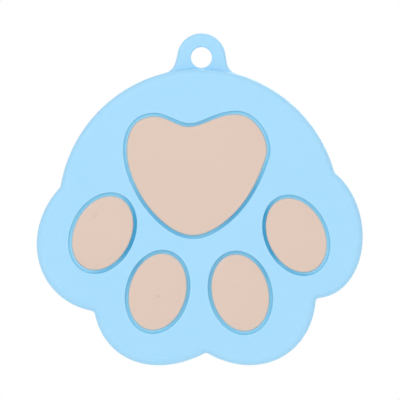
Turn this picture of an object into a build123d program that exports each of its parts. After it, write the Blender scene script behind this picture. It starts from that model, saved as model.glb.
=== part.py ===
from build123d import *
from math import sqrt
import os

# A paw washer cup: a shallow, soft cup whose closed end is a paw, with soft bristles inside.
# It is drawn lying on its rim, with X to the right, Y towards the hanging lug and Z up from the
# rim to the paw face. Every part is then stood upright, hung by its lug: the face looks along -Y,
# the open end along +Y, and the origin is the middle of the hanging hole. Millimetres.

# Paw outline: a palm disc, and an ellipse round each toe
# (centre x, centre y, long half-axis, short half-axis, turn of the long axis in degrees)
PALM_CENTRE = (-0.8, -49.0)
PALM_RADIUS = 45.2
TOE_LOBES = [
    (-28.0, -57.6, 26.2, 23.4, 39.6),
    (-5.4, -68.8, 34.0, 25.3, 48.7),
    (10.6, -70.8, 30.1, 24.4, 123.6),
    (35.5, -55.7, 22.0, 16.3, 99.5),
]
# Clefts between the lobes: where each one is, and the radius that rounds it
CLEFTS = [
    (-46.0, -41.5, 2.5),
    (-34.6, -82.7, 1.6),
    (0.7, -95.6, 1.3),
    (37.4, -78.7, 1.6),
    (42.4, -35.4, 2.5),
]

# Cup, heights above the rim
FACE_PEAK_HEIGHT = 30.0
DOME_CENTRE = (-0.5, -57.0)
DOME_RADIUS = 625.0
DOME_MIDDLE = Vector(*DOME_CENTRE, FACE_PEAK_HEIGHT - DOME_RADIUS)
FACE_EDGE_ROUND = 2.5
FLOOR_HEIGHT = 23.5
WALL = 3.0
RIM_ROUND = 0.8

# Hanging lug, centred on the origin
LUG_RADIUS = 7.7
LUG_HOLE_RADIUS = 3.4
LUG_THICKNESS = 4.0
LUG_MIDDLE_HEIGHT = 22.5
LUG_NECK = [(-7.6, 0.8), (-9.7, -6.5), (8.9, -6.5), (7.5, 1.6)]
LUG_ROOT_RADIUS = 4.7
LUG_EDGE_ROUND = 1.2
LUG_FOOT_HALF_WIDTH = 13.0
LUG_FOOT_DEPTH = 1.5
LUG_HOLE_ROUND = 0.4

# Pads: each stands in a pocket of its own outline, with a groove left round it
GROOVE_WIDTH = 1.1
GROOVE_FLOOR_PEAK_HEIGHT = 28.8
GROOVE_FLOOR_RADIUS = 1100.0
POCKET_FLOOR_HEIGHT = 26.1
GROOVE_LIP_ROUND = 0.25
PAD_STANDING_PROUD = 0.5

# Toe pads: all the same oval (centre x, centre y, turn of the long axis in degrees)
TOE_PAD_LONG = 12.6
TOE_PAD_SHORT = 9.1
TOE_PAD_CROWN_RADIUS = 70.0
TOE_PAD_EDGE_ROUND = 0.7
TOE_PADS = {
    "toe_pad_outer_left": (-31.8, -56.7, 63.1),
    "toe_pad_inner_left": (-14.1, -75.6, 74.6),
    "toe_pad_inner_right": (12.5, -75.9, -76.1),
    "toe_pad_outer_right": (30.5, -57.4, -64.0),
}

# Heart pad: points of its smooth closed outline, from the right flank round through the tip
HEART_POINTS = [
    (20.8, -32.2), (15.8, -43.5), (7.5, -53.1), (-2.9, -57.5), (-14.3, -51.4), (-21.6, -40.5),
    (-24.1, -29.6), (-20.8, -21.0), (-13.9, -19.2), (-5.1, -22.4), (4.3, -19.9), (14.3, -19.1),
]
HEART_CENTRE = (-1.8, -34.0)
HEART_GROOVE_POINTS = 24
HEART_CROWN_RADIUS = 190.0
HEART_EDGE_ROUND = 0.7
HEART_STEMS = [(-13.5, -30.5), (10.0, -30.5), (-2.5, -47.0)]

# Stems that key the pads through the floor of the cup, with a flat head inside
STEM_RADIUS = 2.0
STEM_HEAD_RADIUS = 3.25
STEM_HEAD_THICKNESS = 1.2

# Bristle mat, which lies against the inside of the face and pulls out for rinsing, and its bristles
MAT_THICKNESS = 2.0
MAT_EDGE_GAP = 0.3
PEG_RADIUS = 2.5
PEG_LENGTH = 3.0
PEG_SIDE_GAP = 0.1
PEG_END_GAP = 0.2
PEG_PLACES = [(-3.0, -14.0), (-28.5, -38.0), (25.5, -37.5), (-0.9, -66.5), (-0.9, -86.0)]
BRISTLE_ROOT_RADIUS = 1.5
BRISTLE_TIP_RADIUS = 0.8
BRISTLE_TIP_HEIGHT = 8.0
BRISTLE_PITCH = 7.0
BRISTLE_EDGE_MARGIN = 2.4

# Reach of cutting and trimming shapes, well past the cup
TALL = 60.0


def corner_points(face):
    """Where the outline of a face turns sharply."""
    edges = face.outer_wire().order_edges()
    before = [edges[-1], *edges[:-1]]
    return [b @ 0 for a, b in zip(before, edges) if (a % 1).get_angle(b % 0) > 5]


def round_corners(face, radius_at):
    """Rounds every sharp corner of a face's outline, each by the radius that radius_at gives for it."""
    for corner in corner_points(face):
        vertex = face.vertices().sort_by_distance(corner)[0]
        face = fillet(vertex, radius_at(corner)).face()
    return face


def palm_disc(inset=0.0):
    return Pos(*PALM_CENTRE) * Circle(PALM_RADIUS - inset)


def paw_outline(inset=0.0):
    """The paw seen from the front, with every lobe drawn in by inset."""
    paw = palm_disc(inset)
    for x, y, long, short, turn in TOE_LOBES:
        paw += Pos(x, y) * Ellipse(long - inset, short - inset, rotation=turn)

    def cleft_radius(corner):
        x, y, radius = min(CLEFTS, key=lambda cleft: (Vector(*cleft[:2]) - corner).length)
        return radius + inset

    return round_corners(paw.face(), cleft_radius)


def prism(face, low, high):
    """The face stood up from one height to another."""
    return Pos(0, 0, low) * extrude(face, high - low)


def toe_oval(name, grow=0.0):
    """The outline of a toe pad, pushed outwards by grow."""
    x, y, turn = TOE_PADS[name]
    return Pos(x, y) * Ellipse(TOE_PAD_LONG + grow, TOE_PAD_SHORT + grow, rotation=turn)


def heart(grow=0.0):
    """The heart outline, pushed outwards by grow."""
    edge = Spline(*HEART_POINTS, periodic=True)
    if not grow:
        return make_face(edge)
    steps = [i / HEART_GROOVE_POINTS for i in range(HEART_GROOVE_POINTS)]
    outward = [(edge % t).rotate(Axis.Z, 90) for t in steps]
    return make_face(Spline(*[(edge @ t) + out * grow for t, out in zip(steps, outward)], periodic=True))


def pad_outlines(grow=0.0):
    """The outline of every pad by name, pushed outwards by grow."""
    return {"heart_pad": heart(grow)} | {name: toe_oval(name, grow) for name in TOE_PADS}


def stem_places(name):
    """The heart pad has three stems, and a toe pad has one in its middle."""
    return [TOE_PADS[name][:2]] if name in TOE_PADS else HEART_STEMS


def crowned_top(part):
    """The domed or crowned face on top of a part."""
    return part.faces().filter_by(GeomType.SPHERE).sort_by(SortBy.AREA)[-1]


def make_stems(name):
    """A pad's stems, each with its flat head against the inside of the face."""
    stem = prism(Circle(STEM_RADIUS), FLOOR_HEIGHT, POCKET_FLOOR_HEIGHT)
    stem += prism(Circle(STEM_HEAD_RADIUS), FLOOR_HEIGHT, FLOOR_HEIGHT + STEM_HEAD_THICKNESS)
    return [Pos(x, y) * stem for x, y in stem_places(name)]


def make_pad(name, centre, crown_radius, edge_round):
    """A pad that fills its pocket and stands a little proud of the face, crowned and rounded."""
    sideways = Vector(*centre) - Vector(*DOME_CENTRE)
    face_height = sqrt(DOME_RADIUS**2 - sideways.length**2)
    out = Vector(sideways.X, sideways.Y, face_height) / DOME_RADIUS
    crown_middle = DOME_MIDDLE + out * (DOME_RADIUS + PAD_STANDING_PROUD - crown_radius)
    pad = prism(pad_outlines()[name], POCKET_FLOOR_HEIGHT, TALL) & Pos(crown_middle) * Sphere(crown_radius)
    pad = fillet(crowned_top(pad).edges(), edge_round)
    return pad + make_stems(name)


def make_lug():
    """A flat eye on a flared neck, rounded along its edges, whose foot is buried in the cup's wall."""
    neck = Polygon(*LUG_NECK, align=None)
    slab_face = (Circle(LUG_RADIUS) + neck + palm_disc()).face()
    slab_face = round_corners(slab_face, lambda corner: LUG_ROOT_RADIUS)
    low = LUG_MIDDLE_HEIGHT - LUG_THICKNESS / 2
    high = low + LUG_THICKNESS
    slab = prism(slab_face, low, high)
    slab = fillet(slab.faces().filter_by(Axis.Z).edges(), LUG_EDGE_ROUND)
    slab -= prism(Circle(LUG_HOLE_RADIUS), low, high)
    circles = slab.edges().filter_by(GeomType.CIRCLE)
    slab = fillet(circles.filter_by(lambda edge: edge.radius == LUG_HOLE_RADIUS), LUG_HOLE_ROUND)
    foot = Rectangle(2 * LUG_FOOT_HALF_WIDTH, TALL, align=(Align.CENTER, Align.MIN))
    slab &= prism(Pos(*PALM_CENTRE) * foot, low, high)
    return slab - prism(palm_disc(LUG_FOOT_DEPTH), low, high)


def make_cup():
    """The shell: domed face, side wall, lug, pockets for the pads and sockets for the mat's pegs."""
    cup = prism(paw_outline(), 0, TALL) & Pos(DOME_MIDDLE) * Sphere(DOME_RADIUS)
    cup = fillet(crowned_top(cup).edges(), FACE_EDGE_ROUND)
    floor_middle = Pos(*DOME_CENTRE, GROOVE_FLOOR_PEAK_HEIGHT - GROOVE_FLOOR_RADIUS)
    groove_floor = floor_middle * Sphere(GROOVE_FLOOR_RADIUS)
    for outline in pad_outlines(GROOVE_WIDTH).values():
        cup -= prism(outline, POCKET_FLOOR_HEIGHT, TALL) - groove_floor
    lips = [edge for wire in crowned_top(cup).inner_wires() for edge in wire.edges()]
    cup = fillet(lips, GROOVE_LIP_ROUND)
    cup -= prism(paw_outline(WALL), 0, FLOOR_HEIGHT)
    cup = fillet(cup.faces().sort_by(Axis.Z)[0].edges(), RIM_ROUND)
    cup += make_lug()
    for name, outline in pad_outlines().items():
        cup -= prism(outline, POCKET_FLOOR_HEIGHT, TALL)
        cup -= make_stems(name)
    socket_end = FLOOR_HEIGHT + PEG_LENGTH + PEG_END_GAP
    socket = prism(Circle(PEG_RADIUS + PEG_SIDE_GAP), FLOOR_HEIGHT, socket_end)
    return cup - [Pos(x, y) * socket for x, y in PEG_PLACES]


def bristle_places():
    """A triangular grid of places that keeps clear of the cup's wall."""
    row_step = BRISTLE_PITCH * sqrt(3) / 2
    room = paw_outline(WALL + MAT_EDGE_GAP).face()
    edge = room.outer_wire()
    box = room.bounding_box()
    places = []
    for row in range(int(box.size.Y / row_step) + 1):
        shift = BRISTLE_PITCH / 2 * (row % 2)
        for column in range(int(box.size.X / BRISTLE_PITCH) + 1):
            place = Vector(box.min.X + shift + column * BRISTLE_PITCH, box.min.Y + row * row_step)
            if room.is_inside(place) and edge.distance_to(place) > BRISTLE_EDGE_MARGIN:
                places.append((place.X, place.Y))
    return places


def make_bristle():
    """One tapered bristle with a round tip, drawn pointing down from the mat."""
    root_height = FLOOR_HEIGHT - MAT_THICKNESS
    tip_centre_height = BRISTLE_TIP_HEIGHT + BRISTLE_TIP_RADIUS
    with BuildPart() as bristle:
        with BuildSketch(Plane.XZ):
            with BuildLine():
                tip = CenterArc((0, tip_centre_height), BRISTLE_TIP_RADIUS, -90, 90)
                Polyline(tip @ 1, (BRISTLE_ROOT_RADIUS, root_height), (0, root_height), tip @ 0)
            make_face()
        revolve(axis=Axis.Z)
    return bristle.part


def make_bristles():
    return Compound([Pos(x, y) * make_bristle() for x, y in bristle_places()])


def make_mat():
    """The mat that the bristles stand on, with pegs on its back."""
    mat = prism(paw_outline(WALL + MAT_EDGE_GAP), FLOOR_HEIGHT - MAT_THICKNESS, FLOOR_HEIGHT)
    peg = prism(Circle(PEG_RADIUS), FLOOR_HEIGHT, FLOOR_HEIGHT + PEG_LENGTH)
    return mat + [Pos(x, y) * peg for x, y in PEG_PLACES]


def hang_upright(part):
    """Turns a part from lying on its rim to hanging by its lug."""
    return Pos(0, LUG_MIDDLE_HEIGHT, 0) * Rotation(90, 0, 0) * part


parts = {"cup_shell": make_cup(), "brush_mat": make_mat(), "bristles": make_bristles()}
parts["heart_pad"] = make_pad("heart_pad", HEART_CENTRE, HEART_CROWN_RADIUS, HEART_EDGE_ROUND)
for name, (x, y, turn) in TOE_PADS.items():
    parts[name] = make_pad(name, (x, y), TOE_PAD_CROWN_RADIUS, TOE_PAD_EDGE_ROUND)

os.makedirs("parts", exist_ok=True)
for name, part in parts.items():
    export_step(hang_upright(part), f"parts/{name}.step")
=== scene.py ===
import math
import random

import bmesh
import bpy
from mathutils import Matrix, Vector


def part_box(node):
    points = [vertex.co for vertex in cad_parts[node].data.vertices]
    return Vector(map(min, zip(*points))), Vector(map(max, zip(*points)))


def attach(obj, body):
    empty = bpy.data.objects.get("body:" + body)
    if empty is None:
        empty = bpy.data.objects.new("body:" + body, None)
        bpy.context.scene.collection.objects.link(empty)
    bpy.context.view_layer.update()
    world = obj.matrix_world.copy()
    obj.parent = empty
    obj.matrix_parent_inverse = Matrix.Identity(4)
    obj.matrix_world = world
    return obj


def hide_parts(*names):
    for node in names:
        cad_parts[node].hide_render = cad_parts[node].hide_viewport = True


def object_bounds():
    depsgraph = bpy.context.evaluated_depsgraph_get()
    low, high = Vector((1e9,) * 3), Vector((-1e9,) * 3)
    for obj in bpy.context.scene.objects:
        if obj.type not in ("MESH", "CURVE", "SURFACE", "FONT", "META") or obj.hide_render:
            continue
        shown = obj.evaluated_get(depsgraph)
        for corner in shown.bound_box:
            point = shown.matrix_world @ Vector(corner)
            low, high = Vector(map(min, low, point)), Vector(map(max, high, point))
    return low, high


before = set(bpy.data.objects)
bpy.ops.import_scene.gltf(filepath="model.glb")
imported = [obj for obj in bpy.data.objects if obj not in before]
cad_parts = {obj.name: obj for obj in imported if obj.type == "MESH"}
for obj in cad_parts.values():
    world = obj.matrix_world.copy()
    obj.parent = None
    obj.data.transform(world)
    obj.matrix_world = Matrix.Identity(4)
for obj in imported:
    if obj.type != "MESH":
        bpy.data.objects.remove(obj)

CAD_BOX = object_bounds()
MIDDLE = (CAD_BOX[0] + CAD_BOX[1]) / 2
MM = 0.001
TOE_PADS = sorted(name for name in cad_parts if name.startswith("toe_pad"))

# The pad grooves lie between the front of the cup and this depth, measured along Y
GROOVES_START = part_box("cup_shell")[0].y + 3.2 * MM
# How far from a point the walls of a groove still shade it
GROOVE_REACH = 2.2 * MM
# Soft oval patches of colour: the pad, where on it (across and up, from -1 to 1 over its box),
# length and width in millimetres, turn in degrees, and strength.
# Painted shade: the grooves are painted a deeper blue on the inner sides of the outer toes and on the
# heart's flanks.
PAINTED_SHADE_PATCHES = [
    ("toe_pad_outer_left", 0.91, -0.07, 24, 9, 88, 0.9),
    ("toe_pad_outer_left", 0.18, -0.99, 10, 6, 0, 0.4),
    ("toe_pad_outer_right", -0.96, 0.03, 26, 9, 97, 0.9),
    ("toe_pad_outer_right", -0.05, -1.01, 10, 6, 0, 0.4),
    ("heart_pad", -0.49, -0.67, 20, 7, -42, 0.45),
    ("heart_pad", 0.62, -0.44, 22, 7, 52, 0.55),
]
# The colour of that painted groove shade
PAINTED_SHADE_COLOUR = "#3AB0DE"
# Faint rub marks on the pads
RUB_MARKS = [
    ("toe_pad_inner_left", 0.01, -0.11, 1.7, 0.6, 10, 0.35),
    ("toe_pad_inner_left", -0.18, -0.18, 1.8, 0.5, 30, 0.15),
    ("toe_pad_outer_left", -0.25, 0.48, 3.0, 1.6, 50, 0.12),
]
MARK_COLOUR = "#C0A294"
# The mat: the softening of its edges, the width of its flat rim, the slope inside it,
# and how far its field lies below the rim
MAT_EDGE = 0.35 * MM
MAT_RIM = 1.4 * MM
MAT_SLOPE = 0.4 * MM
MAT_FIELD_SUNK = 0.35 * MM
# One bristle from the middle of its root to its tip: radius and height in millimetres
BRISTLE_PROFILE = [(0, 0), (2.2, 0), (1.5, 0.8), (1.2, 6.5), (0.85, 12.4), (0.55, 13.2), (0, 13.5)]
# How far a bristle's tip leans in millimetres: its spread each way, and the droop they all share
BRISTLE_LEAN = 0.35
BRISTLE_DROOP = 0.25
# Radius of the flash line round the side, half of it inside the wall, and the depth at which the
# mould parted, which is the middle of the lug
FLASH_RADIUS = 0.13 * MM
PARTING_Y = 0
# Vertices closer than this are one vertex
SAME_PLACE = 1e-6


# Materials

def linear(hex_colour):
    """An sRGB hex colour as linear red, green, blue and alpha."""
    parts = [int(hex_colour[i:i + 2], 16) / 255 for i in (1, 3, 5)]
    return (*[p / 12.92 if p <= 0.04045 else ((p + 0.055) / 1.055) ** 2.4 for p in parts], 1.0)


def add_node(tree, kind, values=None, links=None, **settings):
    """Adds one node: its settings, its inputs' own values, and the sockets that feed its inputs."""
    node = tree.nodes.new(kind)
    for name, value in settings.items():
        setattr(node, name, value)
    for name, value in (values or {}).items():
        node.inputs[name].default_value = value
    for name, source in (links or {}).items():
        tree.links.new(source, node.inputs[name])
    return node


def per_mm(size):
    """The noise scale whose features are this many millimetres across."""
    return 1 / (size * MM)


def blend_colours(tree, factor, first, second):
    """The colour that runs from first to second; each is a socket or a fixed colour."""
    first_input, second_input, colour_output = 6, 7, 2
    node = add_node(tree, "ShaderNodeMix", links={"Factor": factor}, data_type="RGBA")
    for number, colour in ((first_input, first), (second_input, second)):
        if isinstance(colour, tuple):
            node.inputs[number].default_value = colour
        else:
            tree.links.new(colour, node.inputs[number])
    return node.outputs[colour_output]


def patch_mask(tree, place, patch):
    """How strongly a soft oval patch of the face shows: 0 outside it, and its strength in the middle.
    It fades between two multiples of the oval's own radius."""
    fade_starts, fade_ends = 0.5, 1.3
    pad, across, up, length, width, turn, strength = patch
    low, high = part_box(pad)
    middle, half = (low + high) / 2, (high - low) / 2
    where = (middle.x + across * half.x, 0, middle.z + up * half.z)
    local = add_node(tree, "ShaderNodeMapping", {"Location": where,
                                                 "Rotation": (0, -math.radians(turn), 0),
                                                 "Scale": (length / 2 * MM, 1, width / 2 * MM)},
                     {"Vector": place}, vector_type="TEXTURE")
    flat = add_node(tree, "ShaderNodeVectorMath", {1: (1, 0, 1)}, {0: local.outputs["Vector"]},
                    operation="MULTIPLY")
    distance = add_node(tree, "ShaderNodeVectorMath", links={0: flat.outputs["Vector"]},
                        operation="LENGTH")
    mask = add_node(tree, "ShaderNodeMapRange",
                    {"From Min": fade_ends, "From Max": fade_starts, "To Max": strength},
                    {"Value": distance.outputs["Value"]})
    return mask.outputs["Result"]


def moulded_silicone(name, colour, cloud_colour, groove_shading_colour, roughness,
                     shade_patches=(), marks=()):
    """Compression-moulded silicone rubber. The eye sees a soft, even matte skin left by the blasted
    mould, a faint cloudiness where the pigment mixed unevenly, and light that bleeds a little way
    in. Near the face the narrow grooves get painted light and shade: where the ambient-occlusion
    node finds the surface hemmed in, its colour turns to the groove shading colour, a deeper blue
    on the blue rubber (painted shade) and a lighter beige on the pads (painted light)."""
    cloud_size, handling_size, grain_size = 24, 9, 0.7
    open_light, closed_light = 0.96, 0.78
    roughness_spread = 0.07
    material = bpy.data.materials.new(name)
    material.use_nodes = True
    tree = material.node_tree
    shader = tree.nodes["Principled BSDF"]
    shader.inputs["IOR"].default_value = 1.41
    shader.inputs["Subsurface Weight"].default_value = 0.2
    shader.inputs["Subsurface Radius"].default_value = (0.7, 0.9, 1.0)
    shader.inputs["Subsurface Scale"].default_value = 1.2 * MM
    place = add_node(tree, "ShaderNodeTexCoord").outputs["Object"]

    clouds = add_node(tree, "ShaderNodeTexNoise", {"Scale": per_mm(cloud_size), "Detail": 3},
                      {"Vector": place})
    skin = blend_colours(tree, clouds.outputs["Fac"], linear(colour), linear(cloud_colour))

    # Painted light and shade in the grooves: the ambient-occlusion node, kept to the face by the
    # depth along Y, turns the colour to the groove shading colour, darker blue on the blue rubber and
    # lighter on the beige pads; the painted shade patches deepen it further on the blue
    painted_shading = linear(groove_shading_colour)
    for patch in shade_patches:
        painted_shading = blend_colours(tree, patch_mask(tree, place, patch), painted_shading, linear(PAINTED_SHADE_COLOUR))
    hollow = add_node(tree, "ShaderNodeAmbientOcclusion", {"Distance": GROOVE_REACH}, samples=16)
    inside = add_node(tree, "ShaderNodeMapRange",
                      {"From Min": open_light, "From Max": closed_light},
                      {"Value": hollow.outputs["AO"]})
    axes = add_node(tree, "ShaderNodeSeparateXYZ", links={"Vector": place})
    near_face = add_node(tree, "ShaderNodeMapRange",
                         {"From Min": GROOVES_START, "From Max": GROOVES_START - 0.5 * MM},
                         {"Value": axes.outputs["Y"]})
    in_groove = add_node(tree, "ShaderNodeMath", operation="MULTIPLY",
                         links={0: inside.outputs["Result"], 1: near_face.outputs["Result"]})
    skin = blend_colours(tree, in_groove.outputs["Value"], skin, painted_shading)
    for mark in marks:
        skin = blend_colours(tree, patch_mask(tree, place, mark), skin, linear(MARK_COLOUR))
    tree.links.new(skin, shader.inputs["Base Color"])

    handling = add_node(tree, "ShaderNodeTexNoise", {"Scale": per_mm(handling_size), "Detail": 4},
                        {"Vector": place})
    sheen = add_node(tree, "ShaderNodeMapRange",
                     {"To Min": roughness - roughness_spread, "To Max": roughness + roughness_spread},
                     {"Value": handling.outputs["Fac"]})
    tree.links.new(sheen.outputs["Result"], shader.inputs["Roughness"])

    # the blast grain is about 0.1 mm on the real mould; here it is 0.7 mm, to show at all
    grain = add_node(tree, "ShaderNodeTexNoise", {"Scale": per_mm(grain_size), "Detail": 2},
                     {"Vector": place})
    bump = add_node(tree, "ShaderNodeBump", {"Strength": 0.4, "Distance": 0.02 * MM},
                    {"Height": grain.outputs["Fac"]})
    tree.links.new(bump.outputs["Normal"], shader.inputs["Normal"])
    return material


def paper_white(name, colour):
    """Matte studio paper, which the eye reads only as a clean pale ground."""
    material = bpy.data.materials.new(name)
    material.use_nodes = True
    shader = material.node_tree.nodes["Principled BSDF"]
    shader.inputs["Base Color"].default_value = linear(colour)
    shader.inputs["Roughness"].default_value = 0.9
    return material


def paint(piece, material):
    """Gives a piece this material and no other."""
    piece.data.materials.clear()
    piece.data.materials.append(material)


# Pieces

def finish_mesh(name, mesh, smooth=True):
    """Turns a bmesh into an object at the origin, with its faces outwards."""
    bmesh.ops.recalc_face_normals(mesh, faces=mesh.faces)
    data = bpy.data.meshes.new(name)
    mesh.to_mesh(data)
    mesh.free()
    data.shade_smooth() if smooth else data.shade_flat()
    piece = bpy.data.objects.new(name, data)
    bpy.context.scene.collection.objects.link(piece)
    return piece


def build_mat():
    """The mat with softened edges, and a rim round a field that is sunk a little."""
    mat = bmesh.new()
    mat.from_mesh(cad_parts["brush_mat"].data)
    flat_angle, bevelled_angle, shaded_angle = math.radians(1), math.radians(40), math.radians(30)
    bmesh.ops.remove_doubles(mat, verts=mat.verts, dist=SAME_PLACE)
    bmesh.ops.dissolve_limit(mat, angle_limit=flat_angle, verts=mat.verts, edges=mat.edges)
    sharp = [edge for edge in mat.edges
             if len(edge.link_faces) == 2 and edge.calc_face_angle() > bevelled_angle]
    bmesh.ops.bevel(mat, geom=sharp, affect="EDGES", offset=MAT_EDGE, segments=3, profile=0.5,
                    material=-1, clamp_overlap=True)
    front_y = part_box("brush_mat")[1].y
    front = [face for face in mat.faces
             if face.normal.y > 0.99 and face.calc_center_median().y > front_y - 0.01 * MM]
    bmesh.ops.inset_region(mat, faces=front, thickness=MAT_RIM, depth=0, use_even_offset=True)
    bmesh.ops.inset_region(mat, faces=front, thickness=MAT_SLOPE, depth=-MAT_FIELD_SUNK,
                           use_even_offset=True)
    piece = finish_mesh("brush_mat_moulding", mat)
    piece.data.set_sharp_from_angle(angle=shaded_angle)
    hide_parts("brush_mat")
    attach(piece, "brush")
    paint(piece, beige)


def bristle_shape():
    """One bristle along +Y, from its middle at the root round to its tip: a flared foot, a slow
    taper and a round end."""
    shape = bmesh.new()
    points = [shape.verts.new((radius * MM, along * MM, 0)) for radius, along in BRISTLE_PROFILE]
    for start, end in zip(points, points[1:]):
        shape.edges.new((start, end))
    bmesh.ops.spin(shape, geom=shape.verts[:] + shape.edges[:], cent=(0, 0, 0), axis=(0, 1, 0),
                   angle=math.tau, steps=9, use_merge=True)
    bmesh.ops.remove_doubles(shape, verts=shape.verts, dist=SAME_PLACE)
    data = bpy.data.meshes.new("bristle")
    shape.to_mesh(data)
    shape.free()
    return data


def build_bristles():
    """Soft bristles, each leaning a little its own way, rooted where the design has them."""
    low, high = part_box("bristles")
    tips = {(round(v.co.x, 5), round(v.co.z, 5))
            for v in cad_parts["bristles"].data.vertices if v.co.y > high.y - SAME_PLACE}
    chance = random.Random(11)
    one = bristle_shape()
    length = high.y - low.y
    field = bmesh.new()
    for x, z in sorted(tips):
        before = len(field.verts)
        field.from_mesh(one)
        field.verts.ensure_lookup_table()
        lean = Vector((chance.gauss(0, BRISTLE_LEAN), 0,
                       chance.gauss(0, BRISTLE_LEAN) - BRISTLE_DROOP)) * MM
        for vertex in field.verts[before:]:
            vertex.co += Vector((x, low.y - MAT_FIELD_SUNK, z)) + lean * (vertex.co.y / length) ** 2
    bpy.data.meshes.remove(one)
    bristles = finish_mesh("soft_bristles", field)
    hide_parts("bristles")
    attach(bristles, "brush")
    paint(bristles, beige)


def outer_loop(mesh, middle_y):
    """The places in order along the outermost outline of a closed mesh, where it is cut across Y.
    It sets out from the highest place, which is on that outline, and follows the edges round."""
    section = bmesh.new()
    section.from_mesh(mesh)
    bmesh.ops.remove_doubles(section, verts=section.verts, dist=SAME_PLACE)
    bmesh.ops.bisect_plane(section, geom=section.verts[:] + section.edges[:] + section.faces[:],
                           plane_co=(0, middle_y, 0), plane_no=(0, 1, 0),
                           clear_inner=True, clear_outer=True)
    start = max(section.verts, key=lambda vertex: vertex.co.z)
    places, before, here = [], None, start
    while not places or here is not start:
        places.append(here.co.copy())
        beside = [edge.other_vert(here) for edge in here.link_edges]
        before, here = here, next(vertex for vertex in beside if vertex is not before)
    section.free()
    return places


def build_parting_line():
    """The fine line of flash where the two mould halves met, round the wall and the lug."""
    places = outer_loop(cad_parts["cup_shell"].data, PARTING_Y)
    curve = bpy.data.curves.new("flash", "CURVE")
    curve.dimensions = "3D"
    curve.bevel_depth = FLASH_RADIUS
    curve.bevel_resolution = 1
    spline = curve.splines.new("POLY")
    spline.points.add(len(places) - 1)
    for point, place in zip(spline.points, places):
        point.co = (*place, 1)
    spline.use_cyclic_u = True
    wire = bpy.data.objects.new("flash", curve)
    bead = bmesh.new()
    bead.from_mesh(bpy.data.meshes.new_from_object(wire))
    bpy.data.objects.remove(wire)
    line = finish_mesh("parting_line", bead)
    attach(line, "cup")
    paint(line, sky_blue)


# Studio

def add_area_light(name, offset, size, power):
    """A square soft light, aimed at the middle of the cup."""
    data = bpy.data.lights.new(name, "AREA")
    data.size = size
    data.energy = power
    light = bpy.data.objects.new(name, data)
    light.location = MIDDLE + Vector(offset)
    light.rotation_euler = (-Vector(offset)).to_track_quat("-Z", "Y").to_euler()
    bpy.context.scene.collection.objects.link(light)


def build_studio():
    """A white room, soft light from the upper left, and a pale floor well below the hung cup."""
    room_light = 0.74
    floor_radius, floor_drop = 1.35, 0.22
    scene = bpy.context.scene
    scene.view_settings.view_transform = "Standard"
    world = bpy.data.worlds.new("white room")
    world.use_nodes = True
    scene.world = world
    tree = world.node_tree
    seen = tree.nodes["Background"]
    seen.inputs["Color"].default_value = (1, 1, 1, 1)
    lit = add_node(tree, "ShaderNodeBackground", {"Color": (1, 1, 1, 1), "Strength": room_light})
    rays = add_node(tree, "ShaderNodeLightPath")
    mix = add_node(tree, "ShaderNodeMixShader", links={0: rays.outputs["Is Camera Ray"],
                                                       1: lit.outputs["Background"],
                                                       2: seen.outputs["Background"]})
    tree.links.new(mix.outputs["Shader"], tree.nodes["World Output"].inputs["Surface"])

    add_area_light("key", offset=(-1.0, -2.0, 1.2), size=1.4, power=13.5)
    add_area_light("fill", offset=(1.2, -1.8, 0.1), size=1.4, power=5.3)
    add_area_light("behind", offset=(0.4, 1.5, 0.7), size=1.0, power=12)

    disc = bmesh.new()
    bmesh.ops.create_circle(disc, cap_ends=True, radius=floor_radius, segments=96,
                            matrix=Matrix.Translation(MIDDLE - Vector((0, 0, floor_drop))))
    floor = finish_mesh("floor", disc, smooth=False)
    paint(floor, paper_white("studio paper", "#F4F4F4"))


def build_camera():
    """Straight on, from far enough away that the face looks flat. The cup stands a hair off the
    middle of the view."""
    cup_share_of_view = 0.8148
    view_width = (CAD_BOX[1].x - CAD_BOX[0].x) / cup_share_of_view
    distance = 1.6
    face_y = CAD_BOX[0].y + 4.7 * MM
    aside, lower = 0.09 * MM, 0.23 * MM
    data = bpy.data.cameras.new("camera")
    data.lens = data.sensor_width * distance / view_width
    data.clip_end = 20
    camera = bpy.data.objects.new("camera", data)
    camera.location = (MIDDLE.x + aside, face_y - distance, MIDDLE.z - lower)
    camera.rotation_euler = (math.radians(90), 0, 0)
    bpy.context.scene.collection.objects.link(camera)
    bpy.context.scene.camera = camera


# The third colour is painted groove shading: the deeper blue is painted shade, the lighter beige is
# painted light
sky_blue = moulded_silicone("sky blue moulded silicone", "#A9DDFC", "#A6DBFB", "#89D0F0", 0.5,
                            shade_patches=PAINTED_SHADE_PATCHES)
beige = moulded_silicone("beige moulded silicone", "#E0C9BB", "#DEC7B8", "#E6D3C8", 0.52,
                         marks=RUB_MARKS)

paint(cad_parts["cup_shell"], sky_blue)
for name in ["heart_pad"] + TOE_PADS:
    paint(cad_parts[name], beige)
build_mat()
build_bristles()
build_parting_line()

build_studio()
build_camera()
